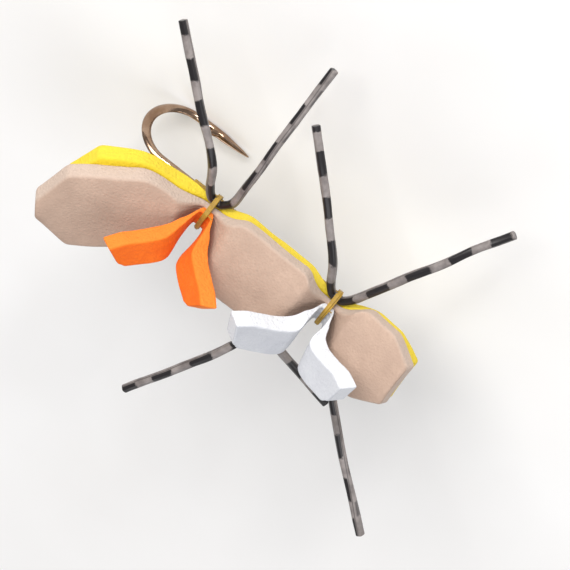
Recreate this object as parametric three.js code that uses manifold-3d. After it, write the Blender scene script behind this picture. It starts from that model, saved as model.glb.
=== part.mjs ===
// Foam hopper dry fly: a two-layer foam body lashed to a long-shank hook at two ties.
// Millimetres. +X runs forward along the shank to the eye, +Y is the port side, +Z is the back of the fly.
// The origin is the centre of the hook's eye.
import * as THREE from 'three';
import { mergeVertices } from 'three/addons/utils/BufferGeometryUtils.js';
import Module from 'manifold-3d';

const wasm = await Module();
wasm.setup();

// ---- Driving dimensions ----
const gap = 0.05; // running clearance between pieces that lie against each other

const wireRadius = 0.45; // hook wire
const eyeRingRadius = 0.85; // centre of the eye's wire
const eyeWireRadius = 0.3;
const shankLength = 23.8; // eye centre to the start of the bend
const gape = 7.5; // shank to spear, centre to centre
const spearLength = 6.1; // end of the bend to the point
const barbFromPoint = 4.4;
const barbLength = 0.9;
const barbHeight = 0.55;
const pointTaper = 3.2; // length of the tapered point
const pointShare = 0.12; // share of the wire's radius left at the tip of the point
const eyeTaper = 2; // length over which the wire thins towards the eye
const barbWidth = 0.7 * wireRadius;

const rearTieX = -17.3;
const frontTieX = -2.5;
const tieWidth = 0.7; // length of shank under each thread band
const threadThickness = 0.22; // build-up of the thread over the bundle
const baseThickness = 0.16; // thread base wound on the shank
const baseBehind = 3; // how far the thread base runs on behind the rear tie
const sleeveRounding = 0.12; // rounded outer corners of both wound sleeves
const tieCornerRadius = 0.3; // the tab's corners, rounded under the thread

const foamThickness = 2;
const seamGap = 0.12; // glue line between the belly and the back
const crushedThickness = 0.7; // any foam layer under the thread
const foamHalfWidth = 4.45;
const bellyHalfWidth = 4.05;
const bodyNarrowing = 0.55; // between and ahead of the ties, on each side
const midShift = -0.45; // between the ties the foam sits a little to starboard
const midArch = 0.5; // and is buckled upwards
const neckHalfWidth = 1.15; // foam squeezed by the thread
const neckReach = 0.5; // from the tie's middle to where the foam starts to swell
const swellLength = 3.4; // from the neck to full width
const tailSwellLength = 6.2;
const puffLength = 2.6; // from the neck to full thickness

const tailLength = 16.4;
const tailPitch = 27; // degrees up
const tailYaw = -24; // degrees, towards starboard
const headLength = 10.2;
const headPitch = 13;
const headYaw = -9; // degrees, towards port when read forwards
const bodyRoll = 24; // degrees, the back leans to port
const headRoll = 30;
const bellyTailLength = 13.4;
const bellyHeadLength = 9.7;
const bellySplay = 7; // degrees, the belly's tail spreads to port of the back's
const endChamfer = 3;
const tailEndHalfWidth = 1;
const headEndHalfWidth = 2.3;
const edgeBevel = 0.25;

const legRadius = 0.43;
const legSides = 8;
const legRootReach = 1.35; // from the tie's middle to each end of the bound middle
const legRootFlare = 1.15; // how far the ends stand out from the bound middle
const legRootKnee = 0.38; // share of the flare reached half way to each end
const legRootChord = 0.85; // the joint's heading is taken from here on the bound middle
const legRootRise = 0.72; // share of the flare gained over that chord
const legJointGap = 0.15;
const legBow = [0.35, 0.3]; // a free leg's middle bows outwards and up

const tabThickness = 1.9;
const tabFoot = tieWidth / 2 + gap + 0.12; // from the tie's middle to where a tab leaves the thread
const tabNeckHalfWidth = neckHalfWidth - 0.1;
const tabKnees = [1.1, 1.7]; // distances from the tie where a lobe rests on the swelling back
const tabKneeSpare = 1.1; // a knee's height in lobe thicknesses
const lobeSwell = 0.8; // from the tie's edge to a lobe's full width
const lobePuff = 0.7; // from the tie's edge to a lobe's full thickness
const endCutShare = 0.25; // how much of a lobe's width its cut corners take
const endCutStart = 0.43; // where the cut starts, as a share of the strip's length from its middle
const endSlant = 0.55; // how far one corner of a lobe's end reaches past the middle
const tabLean = -1.2; // the folds lean to starboard where they leave the tie
const tabLeanLength = 1.4; // over which they lean, and stand square to their own line
const tabStandOff = 0.62 * (foamThickness - crushedThickness); // extra room between a tab's lobe and the swelling back
// Tips are measured from the tie along the body and to port, and up from the swollen back.
const rearTab = {
  tieX: rearTieX,
  halfWidth: 1.5,
  bank: 0, // degrees, a lobe's broad face turned about its own line
  backTip: [-4.9, -2, 6.4],
  frontTip: [5.3, -1, 5.7],
};
const frontTab = {
  tieX: frontTieX,
  halfWidth: 1.9,
  bank: 7,
  backTip: [-6.1, 0.4, 6.6],
  frontTip: [6, 1.6, 5.6],
};

// ---- Materials ----
const paint = (color, roughness, metalness = 0) =>
  new THREE.MeshStandardMaterial({ color, roughness, metalness });
const bronze = paint(0x5a4230, 0.3, 1);
const tan = paint(0xbea08c, 0.9);
const yellow = paint(0xebcd32, 0.9);
const orange = paint(0xfa7823, 0.9);
const white = paint(0xe8e8ea, 0.9);
const thread = paint(0xd4a837, 0.6);
const cement = paint(0xd8c070, 0.15);
const silicone = paint(0x8f8a84, 0.45);

// ---- Helpers ----
const rad = THREE.MathUtils.degToRad;
const lerp = THREE.MathUtils.lerp;
const smooth = THREE.MathUtils.smoothstep;
const vec = (x, y, z) => new THREE.Vector3(x, y, z);
const group = new THREE.Group();

function addPart(name, geometry, material) {
  const mesh = new THREE.Mesh(geometry, material);
  mesh.name = name;
  group.add(mesh);
}

// A closed prism of the section, one unit long in equal steps, with every point then put where place says.
function sweep(section, steps, place, curveSegments = 6) {
  const options = { depth: 1, steps, bevelEnabled: false, curveSegments };
  const geometry = new THREE.ExtrudeGeometry(section, options);
  const position = geometry.attributes.position;
  for (let i = 0; i < position.count; i += 1) {
    const at = place(position.getZ(i), position.getX(i), position.getY(i));
    position.setXYZ(i, at.x, at.y, at.z);
  }
  geometry.computeVertexNormals();
  return geometry;
}

function toSolid(geometry) {
  const bare = geometry.clone();
  bare.deleteAttribute('normal');
  bare.deleteAttribute('uv');
  const merged = mergeVertices(bare, 1e-4);
  const vertProperties = new Float32Array(merged.attributes.position.array);
  const triVerts = new Uint32Array(merged.index.array);
  return new wasm.Manifold(new wasm.Mesh({ numProp: 3, vertProperties, triVerts }));
}

function fromSolid(solid) {
  const mesh = solid.getMesh();
  const geometry = new THREE.BufferGeometry();
  geometry.setAttribute('position', new THREE.BufferAttribute(mesh.vertProperties, 3));
  geometry.setIndex(new THREE.BufferAttribute(mesh.triVerts, 1));
  geometry.computeVertexNormals();
  return geometry;
}

function disc(radius) {
  const shape = new THREE.Shape();
  shape.absarc(0, 0, radius, 0, 2 * Math.PI, false);
  return shape;
}

// ---- Hook: straight shank, half-circle bend, spear with a tapered point, barb and ring eye ----
const bendRadius = gape / 2;
const bendLength = Math.PI * bendRadius;
const shankStart = eyeRingRadius;
const shankSpan = shankLength - shankStart;
const hookLength = shankSpan + bendLength + spearLength;

// The wire's middle line and its direction of travel at a distance from the eye, in the XZ plane.
function hookLine(distance) {
  if (distance <= shankSpan) {
    return { at: vec(-shankStart - distance, 0, 0), turn: 0 };
  }
  const intoBend = distance - shankSpan;
  if (intoBend <= bendLength) {
    const turn = intoBend / bendRadius;
    const x = -shankLength - bendRadius * Math.sin(turn);
    return { at: vec(x, 0, bendRadius * (Math.cos(turn) - 1)), turn };
  }
  return { at: vec(-shankLength + intoBend - bendLength, 0, -gape), turn: Math.PI };
}

function hookRadius(distance) {
  const toEye = smooth(distance, 0, eyeTaper);
  const toPoint = Math.min(1, (hookLength - distance) / pointTaper);
  return lerp(eyeWireRadius, wireRadius, toEye) * lerp(pointShare, 1, Math.sqrt(toPoint));
}

function makeHook() {
  const wire = sweep(disc(1), 72, (t, u, v) => {
    const distance = t * hookLength;
    const { at, turn } = hookLine(distance);
    const radius = hookRadius(distance);
    const outward = vec(Math.sin(turn), 0, Math.cos(turn)).multiplyScalar(v * radius);
    return at.add(outward).add(vec(0, -u * radius, 0));
  });
  const ring = new THREE.TorusGeometry(eyeRingRadius, eyeWireRadius, 10, 28);
  const barbX = -shankLength + spearLength - barbFromPoint;
  const barbShape = new THREE.Shape();
  barbShape.moveTo(barbX + barbLength, 0);
  barbShape.lineTo(barbX, wireRadius + barbHeight);
  barbShape.lineTo(barbX + barbLength / 3, 0);
  const barb = new THREE.ExtrudeGeometry(barbShape, { depth: barbWidth, bevelEnabled: false });
  barb.translate(0, 0, -barbWidth / 2);
  barb.rotateX(Math.PI / 2);
  barb.translate(0, 0, -gape);
  return fromSolid(toSolid(wire).add(toSolid(ring)).add(toSolid(barb)));
}

// ---- Foam strips: a flat section carried along the body, crushed at both ties ----
const neckBottom = wireRadius + gap + baseThickness + gap;
const layerTop = neckBottom + crushedThickness;
const seamAtNeck = layerTop + seamGap / 2;
const baseRadius = neckBottom - gap;

const swellFrom = (away, reach) => smooth(away, neckReach, neckReach + reach);

const layerThickness = (away) => lerp(crushedThickness, foamThickness, swellFrom(away, puffLength));

// How far a place on the shank is from the nearer tie.
const fromTie = (x) => Math.min(Math.abs(x - rearTieX), Math.abs(x - frontTieX));

// 0 at and outside the ties, and 1 in the middle of the stretch between them.
const midShare = (x) => (x > rearTieX && x < frontTieX ? swellFrom(fromTie(x), swellLength) : 0);

// The back leans to port about the shank, a little more at the head, and is level at the ties.
function rollAt(place) {
  if (place < rearTieX) {
    return 0;
  }
  return rad((place > frontTieX ? headRoll : bodyRoll) * swellFrom(fromTie(place), swellLength));
}

// The seam between belly and back: its middle and its frame, at a signed place along the body.
// Between the ties the place is X itself. Past them it is the tie's X plus the distance along the free end.
function seamFrame(place) {
  const free = place < rearTieX ? rearTieX - place : Math.max(0, place - frontTieX);
  const isTail = place < rearTieX;
  const bend = smooth(free, 0, swellLength + neckReach);
  const pitch = rad(isTail ? -tailPitch : headPitch) * bend;
  const yaw = rad(isTail ? tailYaw : headYaw) * bend;
  const roll = rollAt(place);
  const tangent = vec(Math.cos(pitch) * Math.cos(yaw), -Math.cos(pitch) * Math.sin(yaw), Math.sin(pitch));
  const level = vec(Math.sin(yaw), Math.cos(yaw), 0);
  const across = level.applyAxisAngle(tangent, -roll);
  const normal = new THREE.Vector3().crossVectors(tangent, across);
  return { tangent, across, normal };
}

// The seam's middle is summed along the free ends in short steps, and rises from each tie.
function seamMiddle(place) {
  const puff = layerThickness(fromTie(place)) - crushedThickness;
  const lift = puff + baseRadius * Math.sin(rollAt(place)) + midArch * midShare(place);
  if (place >= rearTieX && place <= frontTieX) {
    return vec(place, 0, seamAtNeck + lift);
  }
  const tieX = place < rearTieX ? rearTieX : frontTieX;
  const stepCount = 24;
  const stepLength = (place - tieX) / stepCount;
  const middle = vec(tieX, 0, seamAtNeck);
  for (let i = 0; i < stepCount; i += 1) {
    middle.addScaledVector(seamFrame(tieX + (i + 0.5) * stepLength).tangent, stepLength);
  }
  return middle.add(vec(0, 0, lift));
}

// The places of both strips' rings: close together at the ties and at the chamfered ends.
const tailEnds = [tailLength, bellyTailLength];
const headEnds = [headLength, bellyHeadLength];
const swellRings = [neckReach, 0.95, 1.3, 1.7, 2.2, 2.8, 3.4, swellLength + neckReach];
const tailRings = [6, 8.5];
const headRing = 6;
const ringPlaces = [
  ...[rearTieX, frontTieX].flatMap((x) => swellRings.flatMap((away) => [x - away, x + away])),
  ...[1 / 3, 2 / 3].map((share) => lerp(rearTieX + swellLength, frontTieX - swellLength, share)),
  ...[...tailEnds, ...tailRings].map((end) => rearTieX - end),
  ...tailEnds.map((end) => rearTieX - end + endChamfer),
  ...[...headEnds, headRing].map((end) => frontTieX + end),
  ...headEnds.map((end) => frontTieX + end - endChamfer),
].sort((a, b) => a - b);

// A strip's section in shares of its half width and its thickness, bevelled along all four edges. Two inner
// points on each broad face keep its triangles small.
function stripSection() {
  const inner = 0.33;
  const corner = edgeBevel / foamHalfWidth;
  const lift = edgeBevel / foamThickness;
  const shape = new THREE.Shape();
  shape.moveTo(1, lift);
  shape.lineTo(1, 1 - lift);
  shape.lineTo(1 - corner, 1);
  shape.lineTo(inner, 1);
  shape.lineTo(-inner, 1);
  shape.lineTo(corner - 1, 1);
  shape.lineTo(-1, 1 - lift);
  shape.lineTo(-1, lift);
  shape.lineTo(corner - 1, 0);
  shape.lineTo(-inner, 0);
  shape.lineTo(inner, 0);
  shape.lineTo(1 - corner, 0);
  return shape;
}

// side is +1 for the layer above the seam and -1 for the one below it.
function foamStrip({ side, halfWidth, tailEnd, headEnd, splay }) {
  const isOn = (place) => place >= rearTieX - tailEnd && place <= frontTieX + headEnd;
  const places = ringPlaces.filter(isOn);
  return sweep(stripSection(), places.length - 1, (t, u, v) => {
    const place = places[Math.round(t * (places.length - 1))];
    const { across, normal } = seamFrame(place);
    const away = fromTie(place);
    const intoTail = Math.max(0, rearTieX - place);
    const intoHead = Math.max(0, place - frontTieX);
    const isTail = place < rearTieX;
    const full = halfWidth - (isTail ? 0 : bodyNarrowing);
    let wide = lerp(neckHalfWidth, full, swellFrom(away, isTail ? tailSwellLength : swellLength));
    const tailCut = (intoTail - tailEnd + endChamfer) / endChamfer;
    const headCut = (intoHead - headEnd + endChamfer) / endChamfer;
    wide = tailCut > 0 ? lerp(wide, tailEndHalfWidth, tailCut) : wide;
    wide = headCut > 0 ? lerp(wide, headEndHalfWidth, headCut) : wide;
    const thick = layerThickness(away);
    const height = side > 0 ? seamGap / 2 + v * thick : -seamGap / 2 - (1 - v) * thick;
    const lean = Math.tan(rad(splay)) * Math.max(0, intoTail - neckReach) + midShift * midShare(place);
    return seamMiddle(place).addScaledVector(across, u * wide + lean).addScaledVector(normal, height);
  });
}

// ---- Folded foam tabs: one strip tied down at its middle, both ends standing up in a V ----
const tabBottom = layerTop + seamGap + crushedThickness + gap;
const tabMiddle = tabBottom + crushedThickness / 2;
const backRise = 2 * (foamThickness - crushedThickness); // from the neck's top to the swollen back's

function foamTab({ tieX, halfWidth, bank, backTip, frontTip }) {
  const lobeShare = (away) => smooth(away, tabFoot, tabFoot + lobeSwell);
  const puffShare = (away) => smooth(away, tabFoot, tabFoot + lobePuff);
  const leanShare = (away) => smooth(away, tabFoot, tabFoot + tabLeanLength);
  const tabThick = (away) => lerp(crushedThickness, tabThickness, puffShare(away));
  const backHeading = Math.atan2(-backTip[1], -backTip[0]);
  const frontHeading = Math.atan2(frontTip[1], frontTip[0]);
  const tip = (end) => vec(tieX + end[0], end[1], tabMiddle + backRise + end[2]);
  // Close to the tie the lobe rests on the swelling back, and clears its higher edge.
  const resting = (end, away) => {
    const place = tieX + Math.sign(end[0]) * away;
    const rise = seamGap / 2 + layerThickness(away);
    const top = seamMiddle(place).addScaledVector(seamFrame(place).normal, rise);
    const outside = Math.max(tabFoot, Math.abs(top.x - tieX));
    const aside = tabLean * leanShare(outside);
    const slope = place < rearTieX ? Math.abs(Math.sin(rad(tailYaw))) : Math.sin(rollAt(place));
    const edge = (halfWidth - aside) * slope * smooth(away, tabFoot, tabFoot + 1);
    const room = gap + tabStandOff * lobeShare(away) + edge + tabThick(outside) * tabKneeSpare;
    return vec(tieX + Math.sign(end[0]) * outside, aside, top.z + room);
  };
  const line = new THREE.CatmullRomCurve3([
    tip(backTip),
    ...[...tabKnees].reverse().map((away) => resting(backTip, away)),
    vec(tieX - tabFoot, 0, tabMiddle),
    vec(tieX - tabFoot / 2, 0, tabMiddle),
    vec(tieX + tabFoot / 2, 0, tabMiddle),
    vec(tieX + tabFoot, 0, tabMiddle),
    ...tabKnees.map((away) => resting(frontTip, away)),
    tip(frontTip),
  ], false, 'centripetal');
  const steps = 44;
  return sweep(stripSection(), steps, (t, u, v) => {
    const at = line.getPointAt(t);
    const tangent = line.getTangentAt(t);
    const ahead = at.x - tieX;
    const lobe = lobeShare(Math.abs(ahead));
    const heading = lobe * (ahead < 0 ? backHeading : frontHeading);
    const level = vec(-Math.sin(heading), Math.cos(heading), 0);
    level.applyAxisAngle(tangent, -rad(bank) * lobe);
    const square = new THREE.Vector3().crossVectors(tangent, level).normalize();
    const normal = vec(0, 0, 1).lerp(square, leanShare(Math.abs(ahead)));
    const cut = smooth(Math.abs(t - 0.5), endCutStart, 0.5);
    const wide = lerp(tabNeckHalfWidth, halfWidth, lobe) * (1 - endCutShare * cut);
    const thick = tabThick(Math.abs(ahead));
    at.addScaledVector(level, u * wide);
    at.addScaledVector(normal, (v - 0.5) * thick);
    return at.addScaledVector(tangent, Math.sign(ahead) * u * endSlant * cut);
  });
}

// ---- Rubber legs: each strand is bound at its middle beside a tie, and its two ends stand free ----
const legInset = neckHalfWidth + gap + legRadius; // from the shank's plane to the bound middle
const legHeight = layerTop; // level with the seam between the foam layers

// The bound middle of a strand, flared outwards at both ends.
function legRootPoints(tieX, side) {
  const straight = tieWidth / 2 + gap + 0.1;
  const knee = lerp(straight, legRootReach, 0.5);
  const points = [
    [-legRootReach, legInset + legRootFlare],
    [-knee, legInset + legRootFlare * legRootKnee],
    [-straight, legInset],
    [0, legInset],
    [straight, legInset],
    [knee, legInset + legRootFlare * legRootKnee],
    [legRootReach, legInset + legRootFlare],
  ];
  return points.map(([ahead, out]) => vec(tieX + ahead, side * out, legHeight));
}

function strand(points, steps) {
  const line = new THREE.CatmullRomCurve3(points, false, 'centripetal');
  return new THREE.ExtrudeGeometry(disc(legRadius), {
    steps,
    extrudePath: line,
    curveSegments: legSides / 2,
    bevelEnabled: false,
  });
}

// A free leg runs out from the bound middle's end, past the foam's edge, and on to its tip.
function freeLeg({ tieX, side, end, elbow, tip }) {
  const root = vec(tieX + end * legRootReach, side * (legInset + legRootFlare), legHeight);
  const outward = vec(end * (legRootReach - legRootChord), side * legRootFlare * legRootRise, 0);
  const start = root.clone().addScaledVector(outward.normalize(), legJointGap);
  const knee = root.clone().add(vec(end * elbow[0], side * elbow[1], elbow[2]));
  const far = root.clone().add(vec(end * tip[0], side * tip[1], tip[2]));
  const half = knee.clone().lerp(far, 0.5).add(vec(0, side * legBow[0], legBow[1]));
  return strand([start, knee, half, far], 14);
}

// ---- Thread: a band pulled taut round everything that it binds ----
function circlePoints(y, z, radius) {
  const count = 16;
  return Array.from({ length: count }, (_, i) => {
    const turn = (2 * Math.PI * i) / count;
    return new THREE.Vector2(y + radius * Math.cos(turn), z + radius * Math.sin(turn));
  });
}

// The taut outline round a set of points, anticlockwise.
function tautOutline(points) {
  const sorted = [...points].sort((a, b) => a.x - b.x || a.y - b.y);
  const half = (list) => {
    const chain = [];
    for (const point of list) {
      while (chain.length > 1) {
        const [a, b] = chain.slice(-2);
        const turns = (b.x - a.x) * (point.y - a.y) - (b.y - a.y) * (point.x - a.x);
        if (turns > 1e-6) {
          break;
        }
        chain.pop();
      }
      chain.push(point);
    }
    return chain.slice(0, -1);
  };
  return [...half(sorted), ...half([...sorted].reverse())];
}

function bundleOutline(spare) {
  const corner = tieCornerRadius;
  const tabTop = tabBottom + crushedThickness;
  return tautOutline([
    ...circlePoints(0, 0, wireRadius + gap + baseThickness + spare),
    ...circlePoints(legInset, legHeight, legRadius + spare),
    ...circlePoints(-legInset, legHeight, legRadius + spare),
    ...circlePoints(neckHalfWidth - corner, tabTop - corner, corner * Math.SQRT2 + spare),
    ...circlePoints(corner - neckHalfWidth, tabTop - corner, corner * Math.SQRT2 + spare),
  ]);
}

// The band is made flat in the YZ plane, then stood across the shank.
function threadBand(tieX) {
  const shape = new THREE.Shape(bundleOutline(gap + threadThickness));
  shape.holes.push(new THREE.Path(bundleOutline(gap).reverse()));
  const geometry = new THREE.ExtrudeGeometry(shape, { depth: tieWidth, bevelEnabled: false });
  const stand = new THREE.Matrix4().makeBasis(vec(0, 1, 0), vec(0, 0, 1), vec(1, 0, 0));
  geometry.applyMatrix4(stand);
  geometry.translate(tieX - tieWidth / 2, 0, 0);
  return geometry;
}

// A hollow wound sleeve on the shank, from one X to another, with a rounded outside.
function woundSleeve(fromX, toX, thickness) {
  const inner = wireRadius + gap;
  const length = toX - fromX;
  const round = Math.min(sleeveRounding, thickness * 0.6);
  const profile = [
    [inner, 0],
    [inner + thickness - round, 0],
    [inner + thickness, round],
    [inner + thickness, length - round],
    [inner + thickness - round, length],
    [inner, length],
    [inner, 0],
  ].map(([radius, along]) => new THREE.Vector2(radius, along));
  const geometry = new THREE.LatheGeometry(profile, 20);
  geometry.rotateZ(-Math.PI / 2);
  geometry.translate(fromX, 0, 0);
  return geometry;
}

// ---- Assembly ----
const baseStart = rearTieX - baseBehind;
const baseEnd = frontTieX + tieWidth / 2 + gap;
const finishStart = baseEnd + gap;
const finishEnd = -eyeRingRadius - eyeWireRadius - 2 * gap;

addPart('hook', makeHook(), bronze);
addPart('shank_thread_base', woundSleeve(baseStart, baseEnd, baseThickness), thread);
addPart('whip_finish', woundSleeve(finishStart, finishEnd, baseThickness), cement);

const belly = {
  side: -1,
  halfWidth: bellyHalfWidth,
  tailEnd: bellyTailLength,
  headEnd: bellyHeadLength,
  splay: bellySplay,
};
const back = {
  side: 1,
  halfWidth: foamHalfWidth,
  tailEnd: tailLength,
  headEnd: headLength,
  splay: 0,
};
addPart('belly_foam', foamStrip(belly), yellow);
addPart('back_foam', foamStrip(back), tan);

addPart('rear_indicator_tab', foamTab(rearTab), orange);
addPart('front_indicator_tab', foamTab(frontTab), white);

addPart('rear_thread_band', threadBand(rearTieX), thread);
addPart('front_thread_band', threadBand(frontTieX), thread);

const ties = { rear: rearTieX, front: frontTieX };
const sides = { port: 1, starboard: -1 };
for (const [tieName, tieX] of Object.entries(ties)) {
  for (const [sideName, side] of Object.entries(sides)) {
    addPart(`${tieName}_${sideName}_leg_root`, strand(legRootPoints(tieX, side), 16), silicone);
  }
}

// Elbow and tip are measured from the root's end: along the body, outwards, and up.
const legs = {
  rear_port_back_leg: {
    tieX: rearTieX, side: 1, end: -1,
    elbow: [1.1, 2.6, 0],
    tip: [11.6, 12, -3.4],
  },
  rear_port_front_leg: {
    tieX: rearTieX, side: 1, end: 1,
    elbow: [0.1, 3, -0.2],
    tip: [-0.1, 17, -5.6],
  },
  rear_starboard_back_leg: {
    tieX: rearTieX, side: -1, end: -1,
    elbow: [1.3, 2.5, 0],
    tip: [11, 9.9, 0],
  },
  rear_starboard_front_leg: {
    tieX: rearTieX, side: -1, end: 1,
    elbow: [1.8, 2.4, -0.3],
    tip: [19.3, 9.8, -1.2],
  },
  front_port_back_leg: {
    tieX: frontTieX, side: 1, end: -1,
    elbow: [1.2, 2.6, 0],
    tip: [10.4, 12, -3.4],
  },
  front_port_front_leg: {
    tieX: frontTieX, side: 1, end: 1,
    elbow: [1.1, 2.8, 0],
    tip: [8, 15.8, -4.6],
  },
  front_starboard_back_leg: {
    tieX: frontTieX, side: -1, end: -1,
    elbow: [1.2, 2.6, 0.4],
    tip: [9.4, 19, 5.8],
  },
  front_starboard_front_leg: {
    tieX: frontTieX, side: -1, end: 1,
    elbow: [1.4, 2.6, 0.3],
    tip: [15.2, 15.6, 4.4],
  },
};
for (const [name, leg] of Object.entries(legs)) {
  addPart(name, freeLeg(leg), silicone);
}

export default group;
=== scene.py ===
import bpy
import numpy as np
from mathutils import Matrix, Vector


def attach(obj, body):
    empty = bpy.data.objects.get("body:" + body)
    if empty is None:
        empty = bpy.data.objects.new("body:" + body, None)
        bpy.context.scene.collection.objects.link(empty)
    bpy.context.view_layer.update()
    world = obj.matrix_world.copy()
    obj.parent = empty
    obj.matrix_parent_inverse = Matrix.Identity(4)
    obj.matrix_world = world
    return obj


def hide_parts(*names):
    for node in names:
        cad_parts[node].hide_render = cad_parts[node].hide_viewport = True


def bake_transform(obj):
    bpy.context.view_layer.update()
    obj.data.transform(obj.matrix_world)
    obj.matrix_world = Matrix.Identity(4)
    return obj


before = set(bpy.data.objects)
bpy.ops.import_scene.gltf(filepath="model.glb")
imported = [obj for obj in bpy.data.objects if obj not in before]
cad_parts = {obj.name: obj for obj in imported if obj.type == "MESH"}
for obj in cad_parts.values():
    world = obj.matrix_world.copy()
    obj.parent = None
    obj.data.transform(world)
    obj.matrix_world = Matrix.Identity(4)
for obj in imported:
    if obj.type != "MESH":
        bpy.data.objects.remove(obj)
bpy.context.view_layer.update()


def smooth(value, start, end):
    share = np.clip((value - start) / (end - start), 0, 1)
    return share * share * (3 - 2 * share)


def lerp(start, end, share):
    return start + (end - start) * share


def unit(vectors):
    return vectors / np.maximum(np.linalg.norm(vectors, axis=-1, keepdims=True), 1e-12)


# The mean of several slanted sine waves, from about -1 to 1, the same on every run.
def wobble(points, wavelength, seed, count=9):
    random = np.random.default_rng(seed)
    waves = unit(random.normal(size=(count, 3))) * random.uniform(0.6, 1.6, (count, 1))
    phases = random.uniform(0, 2 * np.pi, count)
    return np.sin(points @ waves.T * (2 * np.pi / wavelength) + phases).mean(axis=-1) * 1.9


# A centripetal spline through the points, cut into equally spaced places along its length.
def curveThrough(points, count):
    points = np.asarray(points, float)
    padded = np.vstack([2 * points[0] - points[1], points, 2 * points[-1] - points[-2]])
    knots = np.cumsum(np.r_[0, np.sqrt(np.linalg.norm(np.diff(padded, axis=0), axis=1))])
    places = np.linspace(knots[1], knots[-2], 1600)
    span = np.clip(np.searchsorted(knots, places, side="right") - 1, 1, len(points) - 1)
    times = [knots[span + step] for step in (-1, 0, 1, 2)]
    corners = [padded[span + step] for step in (-1, 0, 1, 2)]

    def between(low, high, a, b):
        share = ((places - times[low]) / (times[high] - times[low]))[:, None]
        return a + (b - a) * share

    first = [between(i, i + 1, corners[i], corners[i + 1]) for i in range(3)]
    second = [between(i, i + 2, first[i], first[i + 1]) for i in range(2)]
    dense = between(1, 2, second[0], second[1])
    lengths = np.r_[0, np.cumsum(np.linalg.norm(np.diff(dense, axis=0), axis=1))]
    along = count if isinstance(count, np.ndarray) else np.linspace(0, 1, count)
    along = along * lengths[-1]
    return np.stack([np.interp(along, lengths, dense[:, i]) for i in range(3)], axis=-1), along


def headingOf(line):
    return unit(np.gradient(line, axis=0))


# A closed skin over rings of points, with a pole in the middle of each end. Its UV map, flow, holds the
# distance along in millimetres and the share of the way round.
def skin(name, rings, along, marks=None, looped=False):
    rows, columns = rings.shape[:2]
    around = np.arange(columns + 1) / columns
    following = np.roll(np.arange(columns), -1)
    row = np.arange(rows if looped else rows - 1)[:, None]
    ahead = (row + 1) % rows
    column = np.arange(columns)[None, :]
    quads = np.stack([row * columns + column, row * columns + following[None, :],
                      ahead * columns + following[None, :], ahead * columns + column], axis=-1)
    stretch = np.r_[along, along[-1] + 0.1]
    lower = np.broadcast_to(stretch[row], quads.shape[:2])
    upper = np.broadcast_to(stretch[row + 1], quads.shape[:2])
    near = np.broadcast_to(around[:-1][None, :], quads.shape[:2])
    far = np.broadcast_to(around[1:][None, :], quads.shape[:2])
    flow = np.stack([np.stack([lower, near], -1), np.stack([lower, far], -1),
                     np.stack([upper, far], -1), np.stack([upper, near], -1)], axis=2)
    points = rings.reshape(-1, 3)
    faces = quads.reshape(-1, 4).tolist()
    flows = [flow.reshape(-1, 2)]
    values = None if marks is None else marks.reshape(-1)
    if not looped:
        for end, start, turned in ((0, 0, True), (rows - 1, (rows - 1) * columns, False)):
            pole = len(points)
            points = np.vstack([points, rings[end].mean(axis=0)])
            if values is not None:
                values = np.r_[values, 1]
            first, second = start + np.arange(columns), start + following
            pair = (second, first) if turned else (first, second)
            fan = np.stack([pair[0], pair[1], np.full(columns, pole)], axis=-1)
            faces += fan.tolist()
            corners = np.stack([near[0], far[0], (near[0] + far[0]) / 2], axis=-1)
            corners = corners[:, [1, 0, 2]] if turned else corners
            flows.append(np.stack([np.full(corners.shape, along[end]), corners], -1).reshape(-1, 2))
    flows = np.vstack(flows)
    flat = points[quads.reshape(-1, 4)]
    inside = np.einsum("ij,ij->i", flat[:, 0], np.cross(flat[:, 1], flat[:, 2])
                       + np.cross(flat[:, 2], flat[:, 3])).sum()
    mesh = bpy.data.meshes.new(name)
    mesh.from_pydata((points / 1000).tolist(), [], faces)
    layer = mesh.uv_layers.new(name="flow")
    layer.data.foreach_set("uv", flows.astype(np.float32).ravel())
    if values is not None:
        mark = mesh.attributes.new("cutFace", "FLOAT", "POINT")
        mark.data.foreach_set("value", values.astype(np.float32))
    mesh.polygons.foreach_set("use_smooth", np.ones(len(mesh.polygons), bool))
    if inside < 0:
        mesh.flip_normals()
    mesh.update()
    made = bpy.data.objects.new(name, mesh)
    bpy.context.collection.objects.link(made)
    return made


# Several skins made into one object.
def joined(name, parts):
    bpy.ops.object.select_all(action="DESELECT")
    for part in parts:
        part.select_set(True)
    bpy.context.view_layer.objects.active = parts[0]
    bpy.ops.object.join()
    parts[0].name = name
    return parts[0]


# Rings for a flat-ended solid: the end rings shrink over a small radius, then step in towards the pole.
def withCaps(rings, along, marks, shares=(0.9, 0.6, 0.3)):
    first, last = rings[0], rings[-1]
    inner = [lerp(first.mean(axis=0), first, share) for share in shares[::-1]]
    outer = [lerp(last.mean(axis=0), last, share) for share in shares]
    capRow = np.ones(rings.shape[1])
    return (np.concatenate([np.array(inner), rings, np.array(outer)]),
            np.r_[np.full(len(shares), along[0]), along, np.full(len(shares), along[-1])],
            np.vstack([np.tile(capRow, (len(shares), 1)), marks, np.tile(capRow, (len(shares), 1))]))


# A material with its node tree, its shader and its texture coordinates.
def newSurface(name):
    material = bpy.data.materials.new(name)
    material.use_nodes = True
    tree = material.node_tree
    shader = tree.nodes["Principled BSDF"]
    place = tree.nodes.new("ShaderNodeTexCoord")
    return material, tree, shader, place


# A link from another node, a colour or a plain number, whichever the value is.
def feed(tree, socket, value):
    if isinstance(value, bpy.types.NodeSocket):
        tree.links.new(value, socket)
    elif isinstance(value, tuple) and len(value) == 3 and socket.type == "RGBA":
        socket.default_value = (*value, 1)
    else:
        socket.default_value = value


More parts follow.
